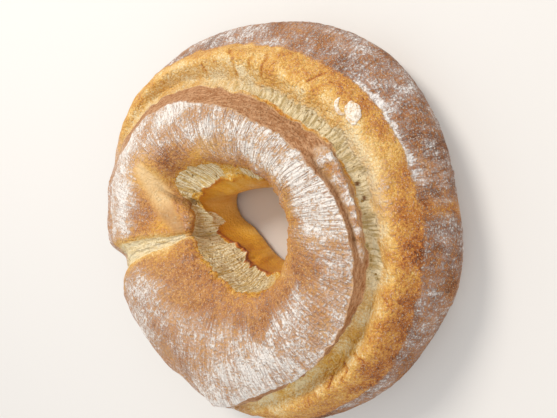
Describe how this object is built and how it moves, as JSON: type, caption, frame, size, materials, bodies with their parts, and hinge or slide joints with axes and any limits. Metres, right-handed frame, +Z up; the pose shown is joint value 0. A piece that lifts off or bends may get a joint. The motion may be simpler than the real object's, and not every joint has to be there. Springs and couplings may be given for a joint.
{
  "type": "ring loaf",
  "caption": "Round crusty bread ring with a lifted floured top crust, a golden burst and a through hole.",
  "frame": {"origin": "bottom centre of the loaf's bounding box, on the plane of its flat base", "axes": "+Z up, along the axis of the hole; -Y towards the side where the top crust's lifted ear and the burst below it are widest; +X to the right seen from that side"},
  "size_m": [0.2794, 0.274, 0.0844],
  "materials": {
    "bread_crust": "dry floured bread crust, matte"
  },
  "bodies": {
    "root": {"ring_loaf": "bread_crust"}
  },
  "joints": []
}
